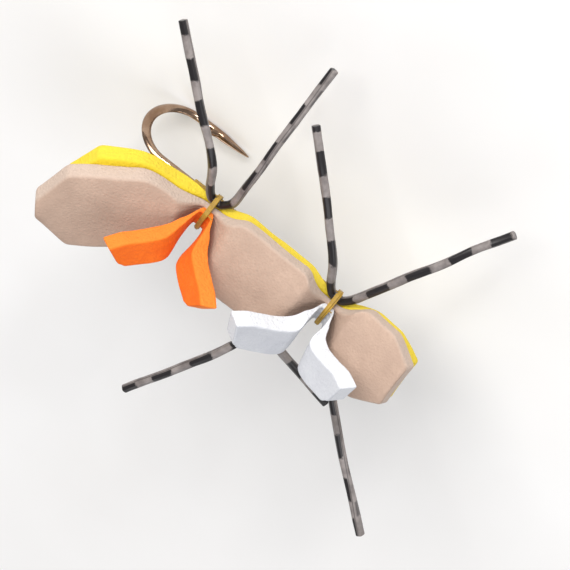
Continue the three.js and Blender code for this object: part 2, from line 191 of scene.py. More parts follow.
def noise(tree, place, scale, detail=2, roughness=0.5):
    made = tree.nodes.new("ShaderNodeTexNoise")
    feed(tree, made.inputs["Vector"], place)
    feed(tree, made.inputs["Scale"], scale)
    feed(tree, made.inputs["Detail"], detail)
    feed(tree, made.inputs["Roughness"], roughness)
    return made.outputs["Fac"]


def cells(tree, place, scale):
    made = tree.nodes.new("ShaderNodeTexVoronoi")
    feed(tree, made.inputs["Vector"], place)
    feed(tree, made.inputs["Scale"], scale)
    return made.outputs["Distance"]


def compute(tree, operation, first, second=0.0):
    made = tree.nodes.new("ShaderNodeMath")
    made.operation = operation
    for socket, value in zip(made.inputs, (first, second)):
        feed(tree, socket, value)
    return made.outputs[0]


# The value carried straight from one range to another, and held at the ends.
def spread(tree, value, low, high, fromLow=0.0, fromHigh=1.0):
    made = tree.nodes.new("ShaderNodeMapRange")
    for key, number in (("Value", value), ("From Min", fromLow), ("From Max", fromHigh),
                        ("To Min", low), ("To Max", high)):
        feed(tree, made.inputs[key], number)
    return made.outputs["Result"]


def blendColor(tree, share, first, second):
    made = tree.nodes.new("ShaderNodeMix")
    made.data_type = "RGBA"
    feed(tree, made.inputs[0], share)
    feed(tree, made.inputs[6], first)
    feed(tree, made.inputs[7], second)
    return made.outputs[2]


# A bump: the height pattern, its depth in metres, its strength, and the bump beneath it.
def raised(tree, height, distance, strength=1.0, under=None):
    made = tree.nodes.new("ShaderNodeBump")
    feed(tree, made.inputs["Height"], height)
    feed(tree, made.inputs["Distance"], distance)
    feed(tree, made.inputs["Strength"], strength)
    if under is not None:
        feed(tree, made.inputs["Normal"], under)
    return made.outputs["Normal"]


def attribute(tree, name):
    made = tree.nodes.new("ShaderNodeAttribute")
    made.attribute_name = name
    return made.outputs["Fac"]


# Camera: from the port side and above, turned so that the tail is at the upper left.
viewSettings = {"target": (-7.15, 0.0, 2.85), "away": 396.0, "lens": 260.0,
                "toward": (0.0, 0.7317, 0.6816), "right": (0.783, 0.4232, -0.4543)}
toward = Vector(viewSettings["toward"]).normalized()
right = Vector(viewSettings["right"])
right = (right - toward * right.dot(toward)).normalized()
upward = toward.cross(right)
cameraData = bpy.data.cameras.new("camera")
cameraData.lens = viewSettings["lens"]
cameraData.clip_start = 0.005
cameraData.clip_end = 20
camera = bpy.data.objects.new("camera", cameraData)
bpy.context.collection.objects.link(camera)
turned = Matrix((right, upward, toward)).transposed().to_4x4()
turned.translation = (Vector(viewSettings["target"]) + toward * viewSettings["away"]) / 1000
camera.matrix_world = turned
bpy.context.scene.camera = camera
bpy.context.scene.view_settings.view_transform = "Standard"
print("camera placed")

# Foam sheet: matte, fine pores, and coarser open cells on cut faces.
# Each cut tone is the foam's paler cut-face colour with a painted highlight added in.
foamTones = {
    "foam_tan": {
        "skin": (0.50, 0.36, 0.28),
        "cut": (0.56, 0.445, 0.37),
        "shade": (0.41, 0.29, 0.225),
    },
    "foam_yellow": {
        "skin": (0.74, 0.55, 0.025),
        "cut": (0.78, 0.60, 0.045),
        "shade": (0.62, 0.44, 0.018),
    },
    "foam_orange": {
        "skin": (0.88, 0.175, 0.012),
        "cut": (0.92, 0.24, 0.03),
        "shade": (0.78, 0.13, 0.008),
    },
    "foam_white": {
        "skin": (0.67, 0.68, 0.71),
        "cut": (0.73, 0.74, 0.77),
        "shade": (0.58, 0.59, 0.63),
    },
}
foamGrain = {
    "blotch": 260,  # texture scales, per metre
    "grain": 3600,
    "pores": 4200,
    "cells": 2900,
    "fineDepth": 5e-5,  # bump depths, in metres
    "cellDepth": 9e-5,
    # How far cut faces take the paler cut tone, which is partly a painted highlight.
    "cutPaleAndLit": 0.8,  # how far a cut face takes the cut tone
    "specular": 0.3,
}


# Skin tone darkened by soft blotches and specks. Cut faces are paler, partly the cut foam's own tone and
# partly a painted highlight, with a dark dot in each open cell.
def foamSurface(name):
    tones = foamTones[name]
    material, tree, shader, place = newSurface(name)
    at = place.outputs["Object"]
    cut = attribute(tree, "cutFace")
    blotch = spread(tree, noise(tree, at, foamGrain["blotch"], 4, 0.6), 0, 1, 0.36, 0.66)
    grain = noise(tree, at, foamGrain["grain"], 3, 0.7)
    pores = cells(tree, at, foamGrain["pores"])
    openCells = cells(tree, at, foamGrain["cells"])
    base = blendColor(tree, blotch, tones["shade"], tones["skin"])
    speck = spread(tree, grain, 0.45, 1.0, 0.36, 0.58)
    dark = blendColor(tree, speck, tones["shade"], base)
    # Painted highlight together with the cut foam's own paler tone: cut faces blend towards the cut tone.
    pale = compute(tree, "MULTIPLY", cut, foamGrain["cutPaleAndLit"])
    color = blendColor(tree, pale, dark, tones["cut"])
    dots = compute(tree, "MULTIPLY", cut, spread(tree, openCells, 0.4, 0, 0, 0.22))
    feed(tree, shader.inputs["Base Color"], blendColor(tree, dots, color, tones["shade"]))
    feed(tree, shader.inputs["Roughness"], spread(tree, grain, 0.72, 0.9))
    feed(tree, shader.inputs["Specular IOR Level"], foamGrain["specular"])
    fine = raised(tree, compute(tree, "ADD", pores, grain), foamGrain["fineDepth"], 0.8)
    coarse = raised(tree, openCells, foamGrain["cellDepth"], spread(tree, cut, 0.08, 0.7), fine)
    feed(tree, shader.inputs["Normal"], coarse)
    return material


foamSurfaces = {name: foamSurface(name) for name in foamTones}

# Body measures shared by the foam, the legs and the thread.
body = {
    "rearTie": -17.3, "frontTie": -2.5,
    "wire": 0.45,  # radius of the hook's wire
    "base": 0.16,  # thread wound on the shank
    "clearance": 0.05, "seamGap": 0.12,
    "crushed": 0.7, "foam": 2.0,  # a layer's thickness under the thread, and free
    "neckHalf": 1.15, "neckReach": 0.5,
    "swell": 3.4, "tailSwell": 6.2, "puff": 2.6,  # lengths over which a layer widens and thickens
    "tailPitch": 27.0, "tailYaw": -24.0, "headPitch": 13.0, "headYaw": -9.0,
    "bodyRoll": 24.0, "headRoll": 30.0,
    "narrowing": 0.55,  # on each side, ahead of the rear tie
    "midShift": -0.45, "midArch": 0.5,
}
layerTop = body["wire"] + body["base"] + 2 * body["clearance"] + body["crushed"]
seamAtNeck = layerTop + body["seamGap"] / 2
baseRadius = body["wire"] + body["clearance"] + body["base"]


def fromTie(place):
    return np.minimum(np.abs(place - body["rearTie"]), np.abs(place - body["frontTie"]))


def layerThickness(away):
    swollen = smooth(away, body["neckReach"], body["neckReach"] + body["puff"])
    return lerp(body["crushed"], body["foam"], swollen)


# 0 at and outside the ties, 1 in the middle of the stretch between them.
def midShare(place):
    between = (place > body["rearTie"]) & (place < body["frontTie"])
    return between * smooth(fromTie(place), body["neckReach"], body["neckReach"] + body["swell"])


# The roll about the shank: none at the ties and on the tail, and a smooth step up to its full angle.
def rollAt(place):
    ahead = np.where(place > body["frontTie"], body["headRoll"], body["bodyRoll"])
    full = np.where(place < body["rearTie"], 0, ahead)
    return np.radians(full * smooth(fromTie(place), body["neckReach"], body["neckReach"] + body["swell"]))


# The seam's frame at places along the body: it is level between the ties, and pitches and yaws past them.
def seamFrame(place):
    tail = place < body["rearTie"]
    head = place > body["frontTie"]
    free = np.where(tail, body["rearTie"] - place, np.maximum(0, place - body["frontTie"]))
    bend = smooth(free, 0, body["swell"] + body["neckReach"]) * (tail | head)
    pitch = np.radians(np.where(tail, -body["tailPitch"], body["headPitch"])) * bend
    yaw = np.radians(np.where(tail, body["tailYaw"], body["headYaw"])) * bend
    roll = rollAt(place)
    tangent = np.stack([np.cos(pitch) * np.cos(yaw), -np.cos(pitch) * np.sin(yaw), np.sin(pitch)], -1)
    level = np.stack([np.sin(yaw), np.cos(yaw), 0 * yaw], -1)
    upright = np.cross(tangent, level)
    across = level * np.cos(roll)[:, None] - upright * np.sin(roll)[:, None]
    return tangent, across, np.cross(tangent, across)


# The seam's middle: straight above the shank between the ties, and the sum of the heading past them.
def seamMiddle(place):
    lift = layerThickness(fromTie(place)) - body["crushed"] + baseRadius * np.sin(rollAt(place))
    lift = lift + body["midArch"] * midShare(place)
    bound = np.clip(place, body["rearTie"], body["frontTie"])
    middle = np.stack([bound, 0 * place, 0 * place + seamAtNeck], -1)
    for tie, reach in ((body["rearTie"], -18.0), (body["frontTie"], 12.0)):
        steps = np.linspace(0, reach, 401)
        heading = seamFrame(tie + (steps[1:] + steps[:-1]) / 2)[0]
        path = np.vstack([np.zeros(3), np.cumsum(heading * np.diff(steps)[:, None], axis=0)])
        beyond = (place - tie) * np.sign(reach) > 0
        distance = np.abs(place - tie)
        offset = np.stack([np.interp(distance, np.abs(steps), path[:, i]) for i in range(3)], -1)
        middle = middle + offset * beyond[:, None]
    middle[:, 2] += lift
    return middle


# The outline of a cut strip with small rounded corners: shares of the flat width and thickness, the
# corner's own direction, and whether the point is on a cut side.
def cutSection(acrossCount=25, sideCount=9, cornerCount=4):
    bend = np.linspace(0, np.pi / 2, cornerCount + 2)[1:-1]
    flat = np.linspace(1, -1, acrossCount)
    tall = np.linspace(1, 0, sideCount)
    rows = [
        (flat, 1 + 0 * flat, 0 * flat, 1 + 0 * flat, 0 * flat),
        (-1 + 0 * bend, 1 + 0 * bend, -np.sin(bend), np.cos(bend), bend / (np.pi / 2)),
        (-1 + 0 * tall, tall, -1 + 0 * tall, 0 * tall, 1 + 0 * tall),
        (-1 + 0 * bend, 0 * bend, -np.cos(bend), -np.sin(bend), 1 - bend / (np.pi / 2)),
        (-flat, 0 * flat, 0 * flat, -1 + 0 * flat, 0 * flat),
        (1 + 0 * bend, 0 * bend, np.sin(bend), -np.cos(bend), bend / (np.pi / 2)),
        (1 + 0 * tall, 1 - tall, 1 + 0 * tall, 0 * tall, 1 + 0 * tall),
        (1 + 0 * bend, 1 + 0 * bend, np.cos(bend), np.sin(bend), 1 - bend / (np.pi / 2)),
    ]
    return np.concatenate([np.stack(row, -1) for row in rows])


# Each section point's distance across and share through the thickness, for rings of a half width and a
# thickness, with a corner radius and an inset at the ends.
def fillSection(section, wide, thick, corner, inset):
    wide = np.maximum(wide - inset, corner * 1.05)[:, None]
    tall = np.maximum(thick - 2 * inset, corner * 2.1)[:, None]
    across = section[:, 0] * (wide - corner) + section[:, 2] * corner
    through = inset[:, None] + corner + section[:, 1] * (tall - 2 * corner) + section[:, 3] * corner
    return across, through


# How far the end rings are drawn in, a quarter circle over the corner radius.
def endInset(distance, radius):
    left = np.clip(1 - distance / radius, 0, 1)
    return radius * (1 - np.sqrt(np.maximum(0, 1 - left * left)))


endReach = np.r_[0, 0.02, 0.05, 0.1, 0.16, 0.21, 0.26]  # rings close to a layer's ends
foamShape = {
    "corner": 0.26,  # rounding of the cut edges
    "camber": 0.42, "camberPower": 2.4,
    "chamfer": 3.0, "tailEnd": 1.0, "headEnd": 2.3,
    "roughSide": 0.018, "softFace": 0.03,
}
backSettings = {
    "side": 1, "half": 4.45, "tail": 16.4, "head": 10.2, "splay": 0.0,
    "uneven": 0.09, "crease": 0.07, "seed": 11,
}
bellySettings = {
    "side": -1, "half": 4.05, "tail": 13.4, "head": 9.7, "splay": 7.0,
    "uneven": 0.08, "crease": 0.05, "seed": 23,
}


# A foam layer: middle + across * aside + normal * height. The half width is a smooth step from the neck to
# full, cut straight at both ends. The sheet droops with a power of the distance across, and folds fade out
# from the ties.
def foamLayer(name, settings):
    low, high = body["rearTie"] - settings["tail"], body["frontTie"] + settings["head"]
    rows = np.linspace(low + 0.4, high - 0.4, 190)
    place = np.unique(np.r_[low + endReach, rows, high - endReach])
    across, normal = seamFrame(place)[1:]
    away = fromTie(place)
    swollen = smooth(away, body["neckReach"], body["neckReach"] + body["swell"])
    full = settings["half"] - body["narrowing"] * (place > body["rearTie"])
    toFull = np.where(place < body["rearTie"], body["tailSwell"], body["swell"])
    wide = lerp(body["neckHalf"], full, smooth(away, body["neckReach"], body["neckReach"] + toFull))
    intoTail = np.maximum(0, body["rearTie"] - place)
    intoHead = np.maximum(0, place - body["frontTie"])
    tailCut = (intoTail - settings["tail"] + foamShape["chamfer"]) / foamShape["chamfer"]
    headCut = (intoHead - settings["head"] + foamShape["chamfer"]) / foamShape["chamfer"]
    wide = np.where(tailCut > 0, lerp(wide, foamShape["tailEnd"], tailCut), wide)
    wide = np.where(headCut > 0, lerp(wide, foamShape["headEnd"], headCut), wide)
    even = np.linspace(low, high, 401)
    window = np.hanning(15) / np.hanning(15).sum()
    softened = np.convolve(np.pad(np.interp(even, place, wide), 7, mode="edge"), window, mode="valid")
    wide = np.interp(place, even, softened)
    line = np.stack([place, 0 * place, 0 * place], -1)
    wide = wide + settings["uneven"] * swollen * wobble(line, 5.5, settings["seed"])
    thick = layerThickness(away)
    section = cutSection()
    inset = endInset(np.minimum(place - low, high - place), foamShape["corner"])
    aside, through = fillSection(section, wide, thick, foamShape["corner"], inset)
    share = aside / wide[:, None]
    gapHalf = body["seamGap"] / 2
    height = gapHalf + through if settings["side"] > 0 else -gapHalf - thick[:, None] + through
    droop = foamShape["camber"] * swollen[:, None] * np.abs(share) ** foamShape["camberPower"]
    pull = np.exp(-np.maximum(0, away - 0.5) / 1.1)[:, None]
    outer = section[None, :, 3] if settings["side"] > 0 else -section[None, :, 3]
    folds = np.sin(share * 15 + 2.2 * np.sin(share * 4 + settings["seed"]))
    height = height - droop + settings["crease"] * pull * folds * np.clip(outer, 0, 1) * settings["side"]
    lean = np.tan(np.radians(settings["splay"])) * np.maximum(0, intoTail - body["neckReach"])
    lean = (lean + body["midShift"] * midShare(place))[:, None]
    middle = seamMiddle(place)
    rings = middle[:, None] + across[:, None] * (aside + lean)[..., None]
    rings = rings + normal[:, None] * height[..., None]
    rough = wobble(rings.reshape(-1, 3), 1.1, settings["seed"] + 1).reshape(aside.shape)
    marks = np.broadcast_to(section[:, 4], aside.shape).copy()
    sideways = np.sign(aside) * foamShape["roughSide"] * rough * marks
    rings = rings + across[:, None] * sideways[..., None]
    soft = wobble(rings.reshape(-1, 3), 4.0, settings["seed"] + 2).reshape(aside.shape)
    lumps = foamShape["softFace"] * soft * (1 - marks) * swollen[:, None]
    rings = rings + normal[:, None] * lumps[..., None]
    return skin(name, *withCaps(rings, place, marks))


backFoam = foamLayer("backFoam", backSettings)
backFoam.data.materials.append(foamSurfaces["foam_tan"])
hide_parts("back_foam")
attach(backFoam, "root")

bellyFoam = foamLayer("bellyFoam", bellySettings)
bellyFoam.data.materials.append(foamSurfaces["foam_yellow"])
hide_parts("belly_foam")
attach(bellyFoam, "root")
print("foam body made")

# Sight tabs: one strip of foam tied down at its middle, both ends standing up.
tabBottom = layerTop + body["seamGap"] + body["crushed"] + body["clearance"]
tabMiddle = tabBottom + body["crushed"] / 2
backRise = 2 * (body["foam"] - body["crushed"])
tabSettings = {
    "foot": 0.52, "neck": 1.05,  # where a tab leaves the thread, and its half width there
    "thick": 1.9, "swell": 0.8, "puff": 0.7,
    "standOff": 0.806, "knees": (1.1, 1.7), "kneeSpare": 1.1,
    "lean": -1.2, "leanLength": 1.4,
    "cutStart": 0.43, "cutShare": 0.25, "slant": 0.55,  # the ends' cut corners
    "corner": 0.2, "uneven": 0.05, "crease": 0.05, "roughSide": 0.02,
}
rearTabSettings = {
    "tie": body["rearTie"], "half": 1.5, "bank": 0.0,
    "back": (-4.9, -2.0, 6.4), "front": (5.3, -1.0, 5.7), "seed": 31,
}
frontTabSettings = {
    "tie": body["frontTie"], "half": 1.9, "bank": 7.0,
    "back": (-6.1, 0.4, 6.6), "front": (6.0, 1.6, 5.6), "seed": 37,
}


# A tab: a spline through both tips, the knees that rest on the body and the tied middle. The strip's
# thickness and width grow with a smooth step from the tie, and its ends are cut narrower.
def foldedTab(name, settings):
    tie, half = settings["tie"], settings["half"]
    foot, lobeThick = tabSettings["foot"], tabSettings["thick"]

    def fromFoot(away, reach):
        return smooth(away, foot, foot + reach)

    def thickAt(away):
        return lerp(body["crushed"], lobeThick, fromFoot(away, tabSettings["puff"]))

    def resting(end, away):
        place = np.array([tie + np.sign(end[0]) * away])
        rise = body["seamGap"] / 2 + layerThickness(np.array([away]))
        top = (seamMiddle(place) + seamFrame(place)[2] * rise[:, None])[0]
        outside = max(foot, abs(top[0] - tie))
        aside = tabSettings["lean"] * fromFoot(outside, tabSettings["leanLength"])
        onTail = place[0] < body["rearTie"]
        slope = abs(np.sin(np.radians(body["tailYaw"]))) if onTail else np.sin(rollAt(place))[0]
        edge = (half - aside) * slope * fromFoot(away, 1)
        room = tabSettings["standOff"] * fromFoot(away, tabSettings["swell"]) + edge
        room = room + thickAt(outside) * tabSettings["kneeSpare"] + body["clearance"]
        return np.array([tie + np.sign(end[0]) * outside, aside, top[2] + room])

    def tip(end):
        return np.array([tie + end[0], end[1], tabMiddle + backRise + end[2]])

    knees = tabSettings["knees"]
    points = [tip(settings["back"]), *[resting(settings["back"], away) for away in knees[::-1]],
              *[np.array([tie + x, 0, tabMiddle]) for x in (-foot, -foot / 2, foot / 2, foot)],
              *[resting(settings["front"], away) for away in knees], tip(settings["front"])]
    total = curveThrough(points, 2)[1][-1]
    ends = np.r_[0, 0.02, 0.05, 0.1, 0.15, 0.2] / total
    shares = np.unique(np.r_[ends, np.linspace(0.02, 0.98, 120), 1 - ends])
    line, along = curveThrough(points, shares)
    fine, fineAlong = curveThrough(points, 1200)
    tangent = np.stack([np.interp(along, fineAlong, headingOf(fine)[:, i]) for i in range(3)], -1)
    ahead = line[:, 0] - tie
    away = np.abs(ahead)
    lobe = fromFoot(away, tabSettings["swell"])
    backHeading = np.arctan2(-settings["back"][1], -settings["back"][0])
    frontHeading = np.arctan2(settings["front"][1], settings["front"][0])
    heading = lobe * np.where(ahead < 0, backHeading, frontHeading)
    level = np.stack([-np.sin(heading), np.cos(heading), 0 * heading], -1)
    bank = np.radians(settings["bank"]) * lobe[:, None]
    level = unit(level * np.cos(bank) - np.cross(tangent, level) * np.sin(bank))
    square = unit(np.cross(tangent, level))
    settle = fromFoot(away, tabSettings["leanLength"])[:, None]
    normal = np.array([0, 0, 1.0]) * (1 - settle) + square * settle
    cut = smooth(np.abs(shares - 0.5), tabSettings["cutStart"], 0.5)
    wide = lerp(tabSettings["neck"], half, lobe) * (1 - tabSettings["cutShare"] * cut)
    wide = wide + tabSettings["uneven"] * lobe * wobble(line, 3.5, settings["seed"])
    section = cutSection(17, 9, 4)
    inset = endInset(np.minimum(along, along[-1] - along), tabSettings["corner"])
    thick = thickAt(away)
    aside, through = fillSection(section, wide, thick, tabSettings["corner"], inset)
    height = through - thick[:, None] / 2
    share = aside / wide[:, None]
    pull = np.exp(-np.maximum(0, away - 0.5) / 1.0)[:, None]
    folds = np.sin(share * 9 + settings["seed"]) * np.clip(section[None, :, 3], 0, 1)
    height = height + tabSettings["crease"] * pull * folds
    rings = line[:, None] + level[:, None] * aside[..., None] + normal[:, None] * height[..., None]
    slant = (np.sign(ahead) * tabSettings["slant"] * cut)[:, None] * share
    rings = rings + tangent[:, None] * slant[..., None]
    marks = np.broadcast_to(section[:, 4], aside.shape).copy()
    rough = wobble(rings.reshape(-1, 3), 1.0, settings["seed"] + 1).reshape(aside.shape)
    sideways = np.sign(aside) * tabSettings["roughSide"] * rough * marks
    rings = rings + level[:, None] * sideways[..., None]
    return skin(name, *withCaps(rings, along, marks))


rearTab = foldedTab("rearTab", rearTabSettings)
rearTab.data.materials.append(foamSurfaces["foam_orange"])
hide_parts("rear_indicator_tab")
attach(rearTab, "root")

frontTab = foldedTab("frontTab", frontTabSettings)
frontTab.data.materials.append(foamSurfaces["foam_white"])
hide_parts("front_indicator_tab")
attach(frontTab, "root")
print("sight tabs made")

# Hook: forged wire with a drawn point, a lifted barb and an eye rolled from its tapered end.
hookSettings = {
    "eye": 0.85, "eyeWire": 0.3, "shank": 23.8, "gape": 7.5, "spear": 6.1, "taper": 3.2,
    "barbFromPoint": 4.4, "barbLength": 0.95, "barbHeight": 0.5, "barbLean": 0.75, "barbCut": 0.16,
    "flatten": 0.12, "squared": 0.16,  # the forged bend
    "columns": 28,
    "bright": (0.44, 0.31, 0.22), "dull": (0.27, 0.165, 0.105),
}


# Bronzed wire: two tones of brown in clouds, polished in patches, with fine drawing marks.
def hookSurface():
    material, tree, shader, place = newSurface("hookMetal")
    at = place.outputs["Object"]
    cloud = spread(tree, noise(tree, at, 500, 4, 0.6), 0, 1, 0.35, 0.65)
    color = blendColor(tree, cloud, hookSettings["bright"], hookSettings["dull"])
    feed(tree, shader.inputs["Base Color"], color)
    feed(tree, shader.inputs["Metallic"], 1.0)
    polish = spread(tree, noise(tree, at, 2600, 3, 0.6), 0.10, 0.24, 0.3, 0.7)
    feed(tree, shader.inputs["Roughness"], polish)
    feed(tree, shader.inputs["Normal"], raised(tree, noise(tree, at, 3800, 2, 0.5), 6e-6, 0.35))
    return material


# The wire's middle runs round the eye, back along the shank, round a half-circle bend and out to the point.
# Its radius tapers to both ends, the bend is wider in its own plane, and the barb rises inside the spear.
def hookWire():
    settings = hookSettings
    bend = settings["gape"] / 2
    turn = np.radians(np.linspace(-156, 150, 60))
    eye = np.stack([settings["eye"] * np.cos(turn), settings["eye"] * np.sin(turn), 0 * turn], -1)
    neck = np.array([[-1.06, 0.2, 0], [-1.4, 0.04, 0], [-1.9, 0, 0], [-2.6, 0, 0]])
    shank = np.stack([np.linspace(-3.5, -settings["shank"], 20)] + [np.zeros(20)] * 2, -1)
    arc = np.linspace(0, np.pi, 41)[1:]
    bent = np.stack([-settings["shank"] - bend * np.sin(arc), 0 * arc, bend * (np.cos(arc) - 1)], -1)
    spear = np.stack([-settings["shank"] + np.linspace(0, settings["spear"], 9)[1:], np.zeros(8),
                      np.full(8, -settings["gape"])], -1)
    points = np.vstack([eye, neck, shank, bent, spear])
    total = curveThrough(points, 2)[1][-1]
    barbAt = total - settings["barbFromPoint"]
    nearBarb = (barbAt + np.linspace(-0.5, 1.2, 60)) / total
    shares = np.unique(np.r_[np.linspace(0, 0.3, 130), np.linspace(0.3, 0.6, 60),
                             np.linspace(0.6, 0.86, 80), np.linspace(0.86, 1, 110), nearBarb])
    line, along = curveThrough(points, shares)
    fine, fineAlong = curveThrough(points, 1500)
    heading = headingOf(fine)
    tangent = unit(np.stack([np.interp(along, fineAlong, heading[:, i]) for i in range(3)], -1))
    shankAt = curveThrough(np.vstack([eye, neck]), 2)[1][-1]
    toShank = smooth(along, shankAt * 0.72, shankAt + 0.4)[:, None]
    side = unit(np.array([0, 0, 1.0]) * (1 - toShank) + np.array([0, 1.0, 0]) * toShank)
    side = unit(side - tangent * (side * tangent).sum(-1, keepdims=True))
    inward = np.cross(tangent, side)
    left = np.clip((total - along) / settings["taper"], 0, 1)
    radius = lerp(settings["eyeWire"], body["wire"], smooth(along, shankAt - 0.6, shankAt + 1.2))
    radius = radius * lerp(0.05, 1, left ** 0.6) * lerp(0.45, 1, smooth(along, -0.02, 0.14))
    bendAt = shankAt + settings["shank"] - 2.6
    forged = smooth(along, bendAt - 1.5, bendAt + 3) * (1 - smooth(along, barbAt - 2.5, barbAt))
    angle = np.linspace(0, 2 * np.pi, settings["columns"], endpoint=False)
    thin = radius * (1 - settings["flatten"] * forged)
    tall = radius * (1 + settings["flatten"] * forged)
    sharp = 1 - settings["squared"] * forged[:, None] * np.abs(np.sin(2 * angle))[None, :]
    aside = thin[:, None] * np.cos(angle) * sharp
    above = tall[:, None] * np.sin(angle) * sharp
    rings = line[:, None] + side[:, None] * aside[..., None] + inward[:, None] * above[..., None]
    inside = np.array([0, 0, 1.0])
    facing = np.clip(((rings - line[:, None]) @ inside) / radius[:, None], 0, 1) ** 5
    fall = smooth(along, barbAt + 0.05, barbAt + settings["barbLength"])
    rise = smooth(along, barbAt - 0.02, barbAt + 0.05) * (1 - fall)
    lifted = (settings["barbHeight"] * rise)[:, None] * facing
    rings = rings + inside * lifted[..., None]
    rings = rings - tangent[:, None] * (settings["barbLean"] * lifted)[..., None]
    cutBehind = smooth(along, barbAt - 0.55, barbAt - 0.1) * (1 - smooth(along, barbAt - 0.06, barbAt))
    rings = rings - inside * (settings["barbCut"] * cutBehind[:, None] * facing)[..., None]
    return skin("hookWire", rings, along)


hook = hookWire()
hook.data.materials.append(hookSurface())
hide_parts("hook")
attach(hook, "root")
print("hook made")

# Thread: a wound base on the shank, a lacquered whip finish, and taut wraps at both ties.
threadSettings = {
    "color": (0.50, 0.31, 0.035), "dark": (0.27, 0.155, 0.02),
    "wide": 0.07, "tall": 0.05,  # half sizes of the flattened thread
    "turnsUnder": 4.6, "turnsOver": 3.4, "spread": 0.22, "spreadBack": 0.2,  # at each tie
    "clearColor": (1.0, 0.93, 0.78),
}


# Twisted filaments: stripes along the thread that also turn round it, raised a little.
def threadSurface(name, glossy):
    material, tree, shader, place = newSurface(name)
    at = place.outputs["Object"]
    fibre = tree.nodes.new("ShaderNodeTexWave")
    fibre.wave_type = "BANDS"
    fibre.bands_direction = "DIAGONAL"
    feed(tree, fibre.inputs["Vector"], place.outputs["UV"])
    feed(tree, fibre.inputs["Scale"], 3.0)
    feed(tree, fibre.inputs["Distortion"], 2.0)
    patch = spread(tree, noise(tree, at, 1800, 3, 0.6), 0, 1, 0.35, 0.65)
    striped = compute(tree, "MULTIPLY", fibre.outputs["Fac"], 0.5)
    share = compute(tree, "ADD", striped, compute(tree, "MULTIPLY", patch, 0.5))
    color = blendColor(tree, share, threadSettings["dark"], threadSettings["color"])
    feed(tree, shader.inputs["Base Color"], color)
    feed(tree, shader.inputs["Roughness"], spread(tree, patch, 0.42, 0.6))
    feed(tree, shader.inputs["Normal"], raised(tree, fibre.outputs["Fac"], 1e-5, 0.5))
    if glossy:
        feed(tree, shader.inputs["Coat Weight"], 1.0)
        feed(tree, shader.inputs["Coat Roughness"], spread(tree, noise(tree, at, 900, 2, 0.5), 0.03, 0.12))
        feed(tree, shader.inputs["Coat Tint"], threadSettings["clearColor"])
    return material


bareThread = threadSurface("bareThread", False)
lacqueredThread = threadSurface("lacqueredThread", True)


# A wound sleeve: the radius is the base plus a ridge that climbs one pitch a turn, round a plain bore.
def woundSleeve(name, start, end, thickness, pitch, ridge, swell):
    rows = int((end - start) / pitch * 7) + 2
    along = np.linspace(start, end, rows)
    angle = np.linspace(0, 2 * np.pi, 24, endpoint=False)
    reach = body["wire"] + body["clearance"]
    turns = along[:, None] / pitch * np.pi + angle[None, :] / 2
    ends = smooth(np.minimum(along - start, end - along), -0.02, 0.16)
    uneven = 0.012 * wobble(np.stack([along, 0 * along, 0 * along], -1), 0.9, 41)
    bulge = swell * np.sin(np.pi * (along - start) / (end - start))
    outer = reach + 0.03 + (thickness - 0.03) * ends + bulge + uneven
    outer = outer[:, None] - ridge * (1 - np.abs(np.sin(turns))) * ends[:, None]
    bore = np.linspace(end, start, max(4, rows // 12))
    place = np.r_[along, bore]
    radius = np.vstack([outer, np.full((len(bore), 24), reach - 0.02)])
    rings = np.stack([np.broadcast_to(place[:, None], radius.shape), radius * np.cos(angle),
                      radius * np.sin(angle)], -1)
    return skin(name, rings, place - start, looped=True)


threadBase = woundSleeve("threadBase", -20.3, -2.1, 0.16, 0.16, 0.05, 0.0)
threadBase.data.materials.append(bareThread)
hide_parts("shank_thread_base")
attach(threadBase, "root")

whipFinish = woundSleeve("whipFinish", -2.05, -1.25, 0.16, 0.14, 0.022, 0.05)
whipFinish.data.materials.append(lacqueredThread)
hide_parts("whip_finish")
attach(whipFinish, "root")

legSettings = {
    "radius": 0.43, "half": 0.405, "square": 3.2,  # the strand, its half width and how square it is
    "reach": 1.35, "flare": 1.15, "straight": 0.5, "kneeShare": 0.38,  # the bound middle
    "chord": 0.85, "chordRise": 0.72,  # where the bend at the root takes its direction
    "bow": (0.35, 0.3), "sway": 0.09, "blendEnd": 0.9,
    "rows": 150, "columns": 24,
    # The print colour also paints the shade line that runs along each side of a strand.
    "barPeriod": 4.5, "print": (0.012, 0.01, 0.011), "grey": ((0.15, 0.13, 0.125), (0.27, 0.24, 0.23)),
}
legInset = body["neckHalf"] + body["clearance"] + legSettings["radius"]


# The taut outline round the shank, both bound legs and the tab's corners: for each direction, the point of
# the circle that reaches farthest. Returns points and outward directions at shares of the way round.
def tautOutline(shares):
    corner = 0.3
    top = tabBottom + body["crushed"] - corner
    centres = np.array([[0, 0], [legInset, layerTop], [-legInset, layerTop],
                        [body["neckHalf"] - corner, top], [corner - body["neckHalf"], top]])
    radii = np.array([baseRadius, legSettings["radius"], legSettings["radius"],
                      corner * np.sqrt(2), corner * np.sqrt(2)])
    turns = np.linspace(0, 2 * np.pi, 1441)
    outward = np.stack([np.cos(turns), np.sin(turns)], -1)
    farthest = np.argmax(outward @ centres.T + radii, axis=1)
    points = centres[farthest] + radii[farthest][:, None] * outward
    lengths = np.r_[0, np.cumsum(np.linalg.norm(np.diff(points, axis=0), axis=1))]
    at = (shares % 1) * lengths[-1]
    return (np.stack([np.interp(at, lengths, points[:, i]) for i in range(2)], -1),
            unit(np.stack([np.interp(at, lengths, outward[:, i]) for i in range(2)], -1)))


# A thread tube along a line, wider along X than it is thick, with one side held towards a direction.
def threadTube(name, line, flat):
    along = np.r_[0, np.cumsum(np.linalg.norm(np.diff(line, axis=0), axis=1))]
    tangent = headingOf(line)
    side = unit(flat - tangent * (flat * tangent).sum(-1, keepdims=True))
    lift = np.cross(tangent, side)
    angle = np.linspace(0, 2 * np.pi, 10, endpoint=False)
    ends = smooth(np.minimum(along, along[-1] - along), -0.03, 0.1)[:, None]
    wide = threadSettings["wide"] * np.cos(angle)[None, :] * ends
    tall = threadSettings["tall"] * np.sin(angle)[None, :] * ends
    rings = line[:, None] + side[:, None] * wide[..., None] + lift[:, None] * tall[..., None]
    return skin(name, rings, along)


